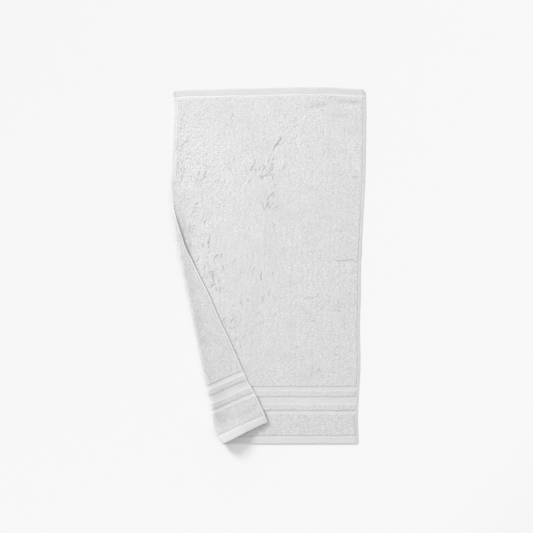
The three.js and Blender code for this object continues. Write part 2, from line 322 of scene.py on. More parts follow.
def cloud(u, v, kind, face=0):
    """Smooth random swells of one kind, from about -1 to 1."""
    size, seed = SWELLS[kind]
    lattice = np.random.default_rng(seed + face).uniform(-1, 1, (700, 420))
    x, y = u / size + 7, v / size + 7
    i, j = np.floor(x).astype(int) % 419, np.floor(y).astype(int) % 699
    s, t = smooth(0, 1, x - np.floor(x)), smooth(0, 1, y - np.floor(y))
    low = mix(lattice[j, i], lattice[j, i + 1], s)
    high = mix(lattice[j + 1, i], lattice[j + 1, i + 1], s)
    return mix(low, high, t)


def tufting(u, v, pitch, stretch, seed):
    """Loops gather in clumps: which way, and how far, the middle of the nearest clump is, and
    how far down its side (u, v) is (0 at a middle, about 1 in the crevice between two)."""
    rng = np.random.default_rng(seed)
    jitter = rng.uniform(0.08, 0.92, (2, 400, 400))
    wide, tall = pitch * stretch, pitch / stretch
    i, j = np.floor(u / wide).astype(int), np.floor(v / tall).astype(int)
    near = np.full(u.shape, 1e9)
    second = np.full(u.shape, 1e9)
    to_u, to_v = np.zeros(u.shape), np.zeros(u.shape)
    for di in (-1, 0, 1):
        for dj in (-1, 0, 1):
            a, b = (i + di) % 400, (j + dj) % 400
            du = ((i + di + jitter[0, b, a]) * wide - u) / stretch
            dv = ((j + dj + jitter[1, b, a]) * tall - v) * stretch
            gap = np.hypot(du, dv)
            closer = gap < near
            second = np.where(closer, near, np.minimum(second, gap))
            near = np.where(closer, gap, near)
            to_u, to_v = np.where(closer, du * stretch, to_u), np.where(closer, dv / stretch, to_v)
    return to_u, to_v, smooth(0, 1, 1 - (second - near) / (0.9 * pitch))


# Patches of the upper face (1) or the reverse (-1) painted darker or lighter: mostly painted shade
# where folds, creases, the curled flap and the flap's ridges shade the pile, a few painted
# highlights beside the flap's edge, and a faint painted shade over the lower part. The loops there
# are also pressed lower or stand higher with the tone.
PAINTED_PATCHES = table(
    "face u v half wide heading tone",
    (1, 458, 871, 24, 5, -4, -0.15),
    (1, 427, 873, 14, 4, 0, -0.07),
    (1, 366, 857, 26, 6, 14, -0.09),
    (1, 427, 834, 22, 5, 0, -0.07),
    (1, 455, 791, 20, 9, 0, -0.02),
    (1, 277, 529, 22, 8, 0, -0.03),
    (1, 231, 534, 20, 9, 0, 0.03),
    (1, 20, 720, 120, 13, 91, -0.045),
    (1, 60, 840, 60, 36, 0, -0.03),
    (1, 42, 548, 62, 10, 108, -0.08),
    (1, 28, 553, 50, 3.5, 108, 0.09),
    (1, 484, 741, 20, 4, 90, -0.04),
    (1, 478, 346, 34, 4, 90, -0.04),
    (1, 48, 897, 45, 8, 0, -0.03),
    (1, 373, 896, 2, 9, 0, -0.05),
    (1, 478, 895, 22, 9, 0, -0.03),
    (-1, 48, 254, 20, 9, 0, -0.05),
    (-1, 104, 58, 22, 9, 75, -0.11),
    (-1, 43, 44, 26, 7, 0, -0.12),
    (-1, 78, 37, 16, 11, 40, 0.1),
    (-1, 32, 61, 20, 6, 0, 0.06),
    (-1, 60, 235, 90, 50, 0, -0.012),
    (-1, 60, 117, 100, 7, 0, -0.08),
    (-1, 60, 10, 100, 12, 0, -0.025),
    (1, 250, 150, 500, 260, 0, -0.007),
    (1, 5, 895, 9, 12, 0, -0.07),
    (-1, 8, 545, 45, 9, 105, -0.05),
    (-1, 25, 431, 14, 5, 0, -0.05),
)


def soft_bar(u, v, cu, cv, half, wide, heading):
    """1 on a straight soft bar, its middle at (cu, cv), and 0 well off it."""
    c, s = math.cos(math.radians(heading)), math.sin(math.radians(heading))
    run = ((u - cu) * c + (v - cv) * s) / half
    aside = ((v - cv) * c - (u - cu) * s) / wide
    return np.exp(-(run**4) - aside * aside)


def painted_patch(face, u, v):
    """How much painted light or painted shade the patches put on the face at (u, v)."""
    rows = zip(*PAINTED_PATCHES.values())
    return sum((side == face) * tone * soft_bar(u, v, *place) for side, *place, tone in rows)


def all_cracks():
    """Both ends, width and depth of each crack, the strewn ones included."""
    rng = np.random.default_rng(STREWN_SEED)
    found = [np.stack(list(CRACKS.values()), -1)]
    for u, v, wide, tall, count, long, lean, deep in zip(*STREWN.values()):
        count = int(count)
        cu = u + wide * rng.uniform(-0.5, 0.5, count)
        cv = v + tall * rng.uniform(-0.5, 0.5, count)
        turn = np.radians(lean + rng.normal(0, STREWN_TURN, count))
        half = long / 2 * rng.uniform(*STREWN_LENGTH, count)
        du, dv = half * np.sin(turn), half * np.cos(turn)
        depth = deep * rng.uniform(*STREWN_DEPTH, count)
        gape = 1 + CRACK_GAPE * depth
        found.append(np.stack([cu - du, cv - dv, cu + du, cv + dv, gape, depth], -1))
    return np.concatenate(found)


class Cloth:
    """The towel's cloth: what it is at (u, v), and where it lies."""

    def __init__(self, sizes):
        self.width = sizes.width / MM
        self.length = sizes.length / MM
        self.selvedge = sizes.selvedge / MM
        self.pile = sizes.pile_thickness / MM
        self.skew = sizes.skew
        heading = math.radians(FOLD_HEADING)
        self.start = (FOLD_START[0] + self.skew * FOLD_START[1], FOLD_START[1])
        self.down = (math.sin(heading), -math.cos(heading))
        self.out = (-math.cos(heading), -math.sin(heading))
        self.shift = np.zeros(3)
        u, v = np.meshgrid(np.linspace(0, self.width, 260), np.linspace(0, self.length, 480))
        thick = self.thickness(u, v)
        both = [self.lay(u, v, thick / 2, 1), self.lay(u, v, thick / 2, -1)]
        points = np.concatenate([p.reshape(-1, 3) for p in both])
        low, high = points.min(0), points.max(0)
        self.shift = -np.array([(low[0] + high[0]) / 2, (low[1] + high[1]) / 2, low[2]]) / MM

    def zoned(self, column, u, v):
        """A column of the weave's zones at (u, v), changing over a short step."""
        u, v = np.broadcast_arrays(u, v)
        v = v + WAVER * cloud(u, 0 * u, "zone edges")
        value = np.full(v.shape, ZONES[column][0])
        for start, after in zip(ZONES["start"][1:], ZONES[column][1:]):
            value = mix(value, after, smooth(start - STEP / 2, start + STEP / 2, v))
        return value

    def hem(self, u, v):
        """Width of the side hem nearest to (u, v)."""
        left = self.selvedge + eased(LEFT_HEM, "v", "wider", v)
        return np.where(u < self.width / 2, left, self.selvedge)

    def inside_hem(self, u, v):
        """How far (u, v) is from the inner edge of the side hem nearest to it."""
        return np.minimum(u, self.width - u) - self.hem(u, v)

    def loops(self, u, v):
        """1 where the cloth carries loops, 0 where it is flat-woven."""
        return self.zoned("loops", u, v) * smooth(LOOPS_OFF, FULL_OFF, self.inside_hem(u, v))

    def thickness(self, u, v):
        off = self.inside_hem(u, v)
        thick = mix(HEM_THICK, self.zoned("thick", u, v), smooth(GROOVE_OFF, FULL_OFF, off))
        thick = thick - GROOVE_DEEP * bell(off - GROOVE_OFF, GROOVE_WIDE)
        left, right, end = (
            mix(thin, 1, np.clip(edge / reach, 0, 1) ** power)
            for edge, reach, power, thin in zip(
                (u, self.width - u, np.minimum(v, self.length - v)), *RIMS.values()
            )
        )
        return thick * np.where(u > self.width / 2, right, left) * end

    def low(self, u, v):
        """1 in the flat borders, 0 elsewhere."""
        below = (self.pile - self.zoned("thick", u, v)) / 2
        return np.clip(below, 0, 1) * smooth(*BORDERS_FROM, v)

    def rounded(self, u, v):
        """The corners cut in to a curve."""
        ru, rv = np.broadcast_arrays(u, v)
        for cu, cv, cut in zip(*CORNERS.values()):
            p = np.clip(1 - np.abs(u - cu) / cut, 0, 1)
            q = np.clip(1 - np.abs(v - cv) / cut, 0, 1)
            near = (p > 0) & (q > 0)
            to_u, to_v = (1 if cu == 0 else -1), (1 if cv == 0 else -1)
            ru = np.where(near, cu + to_u * cut * (1 - p * np.sqrt(1 - q * q / 2)), ru)
            rv = np.where(near, cv + to_v * cut * (1 - q * np.sqrt(1 - p * p / 2)), rv)
        return ru, rv

    def spread(self, u, v):
        """Where (u, v) lies when nothing is folded."""
        ru, rv = self.rounded(u, v)
        left, right = eased(SIDES, "v", "left", v), eased(SIDES, "v", "right", v)
        reach = smooth(self.length - PLAIN_END_REACH, self.length, v)
        bow = eased(PLAIN_END, "u", "out", ru) * reach
        return ru + self.skew * rv + mix(left, right, ru / self.width), rv + bow

    def about_fold(self, x, y):
        """Distance along the fold's axis, and outward from it."""
        dx, dy = x - self.start[0], y - self.start[1]
        along = dx * self.down[0] + dy * self.down[1]
        return along, dx * self.out[0] + dy * self.out[1]

    def past_lead(self, u, v):
        """How far (u, v) is past the line where the roll starts, the place along the fold, and
        the lead, radius and press there."""
        along, outward = self.about_fold(*self.spread(u, v))
        lead, radius, press = (eased(BEND, "along", k, along) for k in ("lead", "radius", "press"))
        return outward - lead, along, lead, radius, press

    def section(self, length, radius, gap):
        """How far out and up the cloth is after a length past the lead, and how far it turned,
        in a round fold that lands at the height gap."""
        turned = math.pi + DROP
        on_roll = np.minimum(np.maximum(length, 0) / radius, turned)
        past = np.maximum(length - radius * turned, 0)
        top = radius * (1 - math.cos(turned))
        level_drop = LANDING * (1 - math.cos(DROP))
        slope = np.maximum(0, (top - gap - level_drop) / math.sin(DROP))
        straight = np.minimum(past, slope)
        level = np.minimum(DROP, (past - straight) / LANDING)
        turn = on_roll - level
        flat = past - straight - level * LANDING
        out = radius * np.sin(on_roll) - straight * math.cos(DROP) - flat
        up = radius * (1 - np.cos(on_roll)) - straight * math.sin(DROP)
        landing = LANDING * (past > 0)
        out = out - landing * (np.sin(turn) - math.sin(turned))
        return out, up + landing * (np.cos(turn) - math.cos(turned)), turn

    def ripple(self, u, v):
        """How high the soft ridges stand at (u, v)."""
        return sum(up * soft_bar(u, v, *place) for *place, up in zip(*RIPPLES.values()))

    def lay(self, u, v, off, face):
        """Where a point lies that is off millimetres from the cloth's middle, on its upper face
        (1) or its reverse (-1). In metres."""
        past, along, lead, radius, press = self.past_lead(u, v)
        thick = self.thickness(u, v)
        wave = self.ripple(u, v)
        free = smooth(-BLEND, 0, past)
        middle = mix(thick, self.pile, free) / 2 + np.maximum(0, wave) * (1 - free)
        if face > 0:
            off = off + np.minimum(0, wave) * (1 - free)
        else:
            off = -(off + wave * free)
        out, up, turn = self.section(past, radius, (self.pile + LAYERS) / press)
        share = eased(LIFT_SHARE, "off", "share", np.maximum(past, 0)) * (past > 0)
        sag = self.low(u, v) * smooth(*SAG_FROM, past / radius)
        rise = eased(BEND, "along", "rise", along) * smooth(0, 1, (past + REACH) / (radius + REACH))
        up = press * up + middle + rise + eased(LIFT, "v", "up", v) * share - SAG * sag
        facing = np.hypot(press * np.sin(turn), np.cos(turn))
        outward = lead + np.where(past > 0, out, past) - press * np.sin(turn) * off / facing
        place = [self.start[k] + along * self.down[k] + outward * self.out[k] for k in (0, 1)]
        return (np.stack([*place, up + np.cos(turn) * off / facing], -1) + self.shift) * MM

    def marks(self, u, v):
        """(u, v) as shares of the width and the length."""
        return np.stack([u / self.width, v / self.length], -1)

    def lead_at(self, v):
        """Distance u at which row v leaves the table."""
        low, high = np.full(len(v), -200.0), np.full(len(v), self.width)
        for _ in range(40):
            u = (low + high) / 2
            folded = self.past_lead(u, v)[0] > 0
            low, high = np.where(folded, u, low), np.where(folded, high, u)
        return low

    def cracked(self, u, v):
        """How deep the pile has parted at (u, v), how far it is pushed aside, and how much it
        stands up beside the crack."""
        deep, lip = np.zeros(np.broadcast(u, v).shape), np.zeros(np.broadcast(u, v).shape)
        push = np.zeros((2,) + deep.shape)
        for u0, v0, u1, v1, wide, depth in all_cracks():
            du, dv = u1 - u0, v1 - v0
            near = np.nonzero(
                (np.abs(u - (u0 + u1) / 2) < abs(du) / 2 + CRACK_REACH)
                & (np.abs(v - (v0 + v1) / 2) < abs(dv) / 2 + CRACK_REACH)
            )
            x, y = u[near] - u0, v[near] - v0
            long = math.hypot(du, dv)
            t = np.clip((x * du + y * dv) / long**2, 0, 1)
            waves = zip(CRACK_WAVES, (u0, v0))
            bend = sum(high * np.sin(t * long / over + start) for (high, over), start in waves)
            off_u = x - t * du - bend * dv / long
            off_v = y - t * dv + bend * du / long
            gap = np.hypot(off_u, off_v) + 1e-6
            at_end, growth = CRACK_TAPER
            sunk = depth * np.minimum(1, at_end + growth * np.minimum(t, 1 - t))
            deep[near] = np.maximum(deep[near], sunk * bell(gap, wide))
            lip[near] += sunk * bell(gap - wide - LIP_OFF, LIP_WIDE)
            aside = sunk * PUSHED * bell(gap, wide * PUSHED_WIDE)
            push[0][near] += off_u / gap * aside
            push[1][near] += off_v / gap * aside
        return deep, push, np.minimum(lip, LIP_MOST)


# Sizes and colours a user would change


def length_of(name, description, default):
    return FloatProperty(name=name, description=description, default=default, unit="LENGTH")


def grey_of(name, description, shade):
    """A colour, grey by default."""
    return FloatVectorProperty(
        name=name, description=description, default=(shade,) * 3, subtype="COLOR", min=0, max=1
    )


class TowelCloth(bpy.types.PropertyGroup):
    width: length_of("Width", "Width of the cloth laid flat", 0.492)
    length: length_of("Length", "Length of the cloth laid flat", 0.905)
    selvedge: length_of("Side hem", "Width of the side hems", 0.0062)
    pile_thickness: length_of("Thickness", "Thickness over the pile", 0.0036)
    skew: FloatProperty(
        name="Skew", description="Lean of the long sides for each metre of length", default=0.021
    )
    rows: IntProperty(name="Rows", description="Cells along the length", default=275)
    colour: grey_of("Ground colour", "Colour of the flat weave", 0.775)


class TowelPile(bpy.types.PropertyGroup):
    pitch: length_of("Pitch", "Distance between loops", 0.00205)
    length: length_of("Loop length", "Length of a loop as it lies", 0.0046)
    width: length_of("Loop width", "Width of a loop", 0.0023)
    height: length_of("Loop height", "How far a loop stands up", 0.0021)
    clump: length_of("Clump", "Distance between clumps of loops", 0.0092)
    crevice: length_of("Crevice", "How much lower loops are between clumps", 0.0006)
    seed: IntProperty(name="Seed", description="Changes how the loops lie", default=11)
    colour: grey_of("Loop colour", "Colour of the loops", 0.842)


class TowelThread(bpy.types.PropertyGroup):
    stitch: length_of("Stitch", "Length of one stitch and the gap after it", 0.0034)
    thickness: length_of("Thread", "Thickness of the thread", 0.0006)
    colour: grey_of("Thread colour", "Colour of the thread", 0.775)


class TowelStage(bpy.types.PropertyGroup):
    floor: FloatProperty(
        name="Floor", description="How bright the floor looks", default=0.939, min=0, max=1
    )
    key: FloatProperty(
        name="Key light", description="Power of the main light", default=86, unit="POWER"
    )
    fill: FloatProperty(name="Fill", description="Strength of the light all round", default=0.725)
    camera_height: length_of("Camera height", "Height above the towel", 4)
    view_width: length_of("View width", "Width of what the camera sees", 1.359)


# Materials

SOCKETS = {"Vector": "NodeSocketVector", "Colour": "NodeSocketColor"}


def nodes_of(tree):
    """A function that adds a node to the tree with its settings and its inputs' values."""

    def add(kind, inputs=None, **settings):
        node = tree.nodes.new(kind)
        for name, value in settings.items():
            setattr(node, name, value)
        for name, value in (inputs or {}).items():
            if isinstance(value, bpy.types.NodeSocket):
                tree.links.new(value, node.inputs[name])
            else:
                node.inputs[name].default_value = value
        return node

    return add


def maths(add, operation, *values):
    """What a Math node makes of the values."""
    return add("ShaderNodeMath", dict(enumerate(values)), operation=operation).outputs[0]


def group(name, inputs, outputs):
    """An empty node group with these sockets, and its ends."""
    tree = bpy.data.node_groups.new(name, "ShaderNodeTree")
    for socket, in_out in [(s, "INPUT") for s in inputs] + [(s, "OUTPUT") for s in outputs]:
        kind = SOCKETS.get(socket, "NodeSocketFloat")
        made = tree.interface.new_socket(name=socket, in_out=in_out, socket_type=kind)
        if in_out == "INPUT" and inputs[socket] is not None:
            made.default_value = inputs[socket]
    return tree, tree.nodes.new("NodeGroupInput"), tree.nodes.new("NodeGroupOutput")


def cotton_group():
    """Cotton: slow, faint changes of tone from washing, and fine fibres for the bump."""
    grey = (0.8, 0.8, 0.8, 1)
    sockets = {"Vector": None, "Colour": grey, "Tone": 1, "Uneven": 0.03, "Fibre Size": 900}
    tree, given, result = group("cotton", sockets, ["Colour", "Height"])
    add = nodes_of(tree)
    at = given.outputs
    slow, fibre = (
        add("ShaderNodeTexNoise", dict(zip(("Vector", "Scale", "Detail", "Roughness"), values)))
        for values in ((at["Vector"], 14, 3, 0.55), (at["Vector"], at["Fibre Size"], 2, 0.6))
    )
    centred = maths(add, "SUBTRACT", slow.outputs["Fac"], 0.5)
    swing = maths(add, "MULTIPLY_ADD", centred, at["Uneven"], at["Tone"])
    tinted = add("ShaderNodeVectorMath", {0: at["Colour"], "Scale": swing}, operation="SCALE")
    tree.links.new(tinted.outputs[0], result.inputs["Colour"])
    tree.links.new(fibre.outputs["Fac"], result.inputs["Height"])
    return tree


def weave_group():
    """Plain weave: threads over and under each other, as a height and as the gaps between them."""
    sockets = {"Vector": None, "Pitch": 0.0009}
    tree, given, result = group("plain_weave", sockets, ["Height", "Gap"])
    add = nodes_of(tree)
    at = given.outputs
    rate = maths(add, "DIVIDE", math.pi, at["Pitch"])
    scaled = add("ShaderNodeVectorMath", {0: at["Vector"], "Scale": rate}, operation="SCALE")
    parts = add("ShaderNodeSeparateXYZ", {0: scaled.outputs[0]})
    crossing = maths(add, "MULTIPLY", *(maths(add, "SINE", parts.outputs[k]) for k in "XY"))
    height = maths(add, "MULTIPLY_ADD", crossing, 0.5, 0.5)
    gap = maths(add, "SUBTRACT", 1.0, maths(add, "ABSOLUTE", crossing))
    tree.links.new(height, result.inputs["Height"])
    tree.links.new(gap, result.inputs["Gap"])
    return tree


def shared_group(name, maker):
    return bpy.data.node_groups.get(name) or maker()


def matt_material(name, sheen, roughness=0.95):
    """A matt cloth material, its node maker and its principled shader."""
    made = bpy.data.materials.new(name)
    made.use_nodes = True
    shader = made.node_tree.nodes["Principled BSDF"]
    shader.inputs["Roughness"].default_value = roughness
    shader.inputs["Specular IOR Level"].default_value = 0.15
    shader.inputs["Sheen Weight"].default_value = sheen
    shader.inputs["Sheen Roughness"].default_value = 0.6
    return made, nodes_of(made.node_tree), shader


def cotton_on(add, colour, inputs):
    """Cotton of a colour, following the piece's own place."""
    place = add("ShaderNodeTexCoord").outputs["Object"]
    cotton = shared_group("cotton", cotton_group)
    given = {"Vector": place, "Colour": (*colour, 1), **inputs}
    return add("ShaderNodeGroup", given, node_tree=cotton).outputs


def dress(add, shader, colour, height, deep, strength):
    """Puts a colour and a bump on the shader."""
    bump = add("ShaderNodeBump", {"Height": height, "Distance": deep, "Strength": strength})
    links = shader.id_data.links
    links.new(colour, shader.inputs["Base Color"])
    links.new(bump.outputs["Normal"], shader.inputs["Normal"])


def loops_material(colour):
    """Terry loops: each takes its own tone, with painted shade towards its foot."""
    made, add, shader = matt_material("terry_loops", 0.2)
    tone = add("ShaderNodeAttribute", attribute_name="tone").outputs["Fac"]
    cotton = cotton_on(add, colour, {"Tone": tone, "Uneven": 0.04, "Fibre Size": 1500})
    dress(add, shader, cotton["Colour"], cotton["Height"], 0.0004, 0.5)
    return made


def ground_material(colour):
    """The woven ground: plain weave in the borders and hems, with painted shade in the gaps of the
    weave and under the loops.
    """
    made, add, shader = matt_material("towel_ground", 0.15)
    threads, loops, own = (
        add("ShaderNodeAttribute", attribute_name=name).outputs
        for name in ("threads", "loops", "tone")
    )
    weave = add(
        "ShaderNodeGroup",
        {"Vector": threads["Vector"], "Pitch": 0.0010},
        node_tree=shared_group("plain_weave", weave_group),
    ).outputs
    # Painted shade in the gaps between the threads and, where loops stand, under them.
    shade = maths(add, "MULTIPLY_ADD", weave["Gap"], -0.06, 1.0)
    shade_under_loops = maths(add, "MULTIPLY_ADD", loops["Fac"], -0.12, 1.0)
    tone = maths(add, "MULTIPLY", maths(add, "MULTIPLY", shade, shade_under_loops), own["Fac"])
    cotton = cotton_on(add, colour, {"Tone": tone})
    relief = maths(add, "MULTIPLY_ADD", cotton["Height"], 0.35, weave["Height"])
    dress(add, shader, cotton["Colour"], relief, 0.0004, 0.6)
    return made


def thread_material(colour):
    """Sewing thread: smoother than the cloth, twisted."""
    made, add, shader = matt_material("sewing_thread", 0.1, roughness=0.7)
    cotton = cotton_on(add, colour, {"Fibre Size": 2500})
    dress(add, shader, cotton["Colour"], cotton["Height"], 0.0002, 1)
    return made


def floor_material(stage):
    """Paper that looks evenly bright although the key light falls off across it."""
    made, add, shader = matt_material("floor_paper", 0, roughness=1)
    shader.inputs["Specular IOR Level"].default_value = 0
    place = add("ShaderNodeTexCoord").outputs["Object"]
    ray = add("ShaderNodeVectorMath", {0: KEY_AT, 1: place}, operation="SUBTRACT").outputs[0]
    aim = Vector(KEY_AT).normalized()
    facing = add("ShaderNodeVectorMath", {0: ray, 1: aim}, operation="DOT_PRODUCT")
    reach = add("ShaderNodeVectorMath", {0: ray}, operation="LENGTH")
    fourth = maths(add, "POWER", reach.outputs["Value"], 4)
    ratio = maths(add, "DIVIDE", facing.outputs["Value"], fourth)
    share = stage.key / math.pi**2 * KEY_AT[2]
    light = maths(add, "MULTIPLY_ADD", ratio, share, stage.fill)
    value = add("ShaderNodeMath", {0: stage.floor, 1: light}, operation="DIVIDE", use_clamp=True)
    value.id_data.links.new(value.outputs[0], shader.inputs["Base Color"])
    return made


# Meshes


def piece_of(mesh, name, material):
    """The mesh as a smooth-shaded piece of the towel."""
    mesh.materials.append(material)
    mesh.shade_smooth()
    piece = bpy.data.objects.new(name, mesh)
    bpy.context.scene.collection.objects.link(piece)
    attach(piece, "root")
    return piece


def bead():
    """The points and faces of the small closed bead that each loop and stitch is made from."""
    made = bmesh.new()
    bmesh.ops.create_uvsphere(made, u_segments=4, v_segments=2, radius=1)
    points = np.array([v.co[:] for v in made.verts])
    faces = [[v.index for v in f.verts] for f in made.faces]
    made.free()
    return points, np.array(faces)


def turned_beads(u, v, turn, half_long, half_wide):
    """Cloth places of the points of beads at (u, v), and how high the points are, from -1 to 1."""
    a, b, height = bead()[0].T[:, None]
    cos, sin = np.cos(turn)[:, None], np.sin(turn)[:, None]
    uu = u[:, None] + a * half_long * cos - b * half_wide * sin
    vv = v[:, None] + a * half_long * sin + b * half_wide * cos
    return uu, vv, height


def flat(values, kind=np.float32):
    return values.astype(kind).ravel()


def carry(mesh, name, values, kind="FLOAT"):
    """Keeps values at the mesh's points under a name."""
    kept = mesh.attributes.new(name, kind, "POINT").data
    kept.foreach_set("value" if kind == "FLOAT" else "vector", flat(values))


def map_cloth(mesh, marks):
    """Gives the mesh a UV map of the cloth, from the marks of its points."""
    corners = np.zeros(len(mesh.loops), np.int32)
    mesh.loops.foreach_get("vertex_index", corners)
    mesh.uv_layers.new(name="cloth_map").uv.foreach_set("vector", flat(marks[corners]))


def beads_mesh(name, places, turned, tones, marks):
    """One mesh of many like beads: places is (beads, points, 3), marks their cloth places."""
    count, each = places.shape[:2]
    faces = bead()[1]
    if turned:
        faces = faces[:, ::-1]
    corners = (faces[None] + np.arange(count)[:, None, None] * each).ravel()
    mesh = bpy.data.meshes.new(name)
    mesh.vertices.add(count * each)
    mesh.vertices.foreach_set("co", flat(places))
    mesh.loops.add(len(corners))
    mesh.loops.foreach_set("vertex_index", flat(corners, np.int32))
    mesh.polygons.add(len(corners) // 3)
    mesh.polygons.foreach_set("loop_start", np.arange(0, len(corners), 3, dtype=np.int32))
    mesh.update(calc_edges=True)
    carry(mesh, "tone", tones)
    map_cloth(mesh, marks.reshape(-1, 2))
    mesh.validate()
    return mesh


# Operators

COLUMNS = 148  # cells across the cloth
COLUMN_SHARES = (0, 0.085, 0.34, 0.915, 1)  # of them, up to a hem, the roll and the other hem
HEM_MARGIN = 5
LEAST_FLAP = 26
FLAP_EASE = 4
# Rows lie closer together below a distance v, at changes of weave and at the ends.
ROWS_LOW = 0.5
ROWS_LOW_FROM = (330, 140)
ROWS_AT_CHANGE = (2.4, 2.2)
ROWS_AT_END = (2, 2.5)
MAP_SHARE = 0.495  # of the UV map, for each face

# The ground: how far it lies below the top of the pile, and how uneven it is.
LOOPS_STAND = 0.75
TERRY_LUMPS = 0.22
FLAT_LUMPS = 0.07
GROUND_CRACKS = 0.5
BARE_FROM = (2, 8)  # past the lead, from where the reverse shows
WEAVE_TONE = 0.015
STREAKS = 0.03
STREAK_LONG = 9
# How much lighter or darker the rims are painted, and how far in: painted light on the right rim
# that lifts the shade of its edge, painted shade on the left one, and a painted highlight along the
# left one's reverse, the flap's free edge.
RIGHT_RIM_LIGHT, RIGHT_RIM = 0.27, 1.2
LEFT_RIM_SHADE, LEFT_RIM = -0.06, 1.5
TURNED_RIM_LIGHT, TURNED_RIM = 0.05, 4

# The clumps of loops: the stretch across the cloth and the seed of both kinds, where they are
# turned along it, and how strong they are.
CLUMPS = ((1.5, 31), (0.8, 41))
TURNED_U = (120, 60)
TURNED_V = (600, 680)
TURNED_WAVER = 25
CLUMPS_DIFFER = 0.45
UPPER_CLUMPS = 1.18
WEAK_CLUMPS = 0.6  # between the ridges, and in the left corner of the plain end
BEFORE_RIDGES = (80, 70)
PAST_RIDGES = (137, 160)
CORNER_U = (120, 200)
CORNER_V = (870, 800)

# The loops: how they differ, how they lean into clumps, and where they never show.
MOST_LOOPS = 24000  # in one piece
PLACE_JITTER = 0.28
LEAN_JITTER = 0.16
TURN_JITTER = 0.45
HEIGHT_JITTER = 0.03
TONE_JITTER = 0.01
LOOP_SIZES = (0.92, 1.12)
# How swells, cracks, their lips and patches change the height and the tone: a crack is painted
# darker as painted shade, and its lips lighter as a painted highlight.
SMALL_SHARE = 0.6
SWELL_TALL, SWELL_TONE = 0.14, 0.02
CRACK_TALL, CRACK_SHADE = 0.85, 0.13
LIP_TALL, LIP_LIGHT = 0.2, 0.01
PATCH_TALL = 5
CRACK_SHADE_TO = 1.6
LEAN = 0.15
LEAST_HEIGHT = 0.6
LOOP_INSET = 0.5  # how far they keep off the hems
FOOT_DEPTH = 1.5  # how far below the top of the pile they begin
# How much darker each loop is painted at its foot: painted shade.
FOOT_SHADE = 0.93
REVERSE_TONE = 0.97
COVERED_FROM = 150  # beyond this the flap covers the cloth below it,
FLAP_CLOSES = 250  # and beyond this along the fold the flap's inside is hidden,
FLAP_END = 78  # but for its lifted end

# The rows of stitches: how far they lie from the end or inside the side hem.
BORDERED_ROW = 22.4
PLAIN_ROW = 18.6
SIDE_ROW = 0.2
ROW_ENDS = 3  # how far a row stops before the corners
STITCH_SHARE = 0.88  # how much of its pitch a stitch takes up
ROLL_STITCHES = 4  # how far past the lead those on the reverse begin
STITCH_SEED = 5
STITCH_JITTER = 0.07
STITCH_RAISED = 0.05


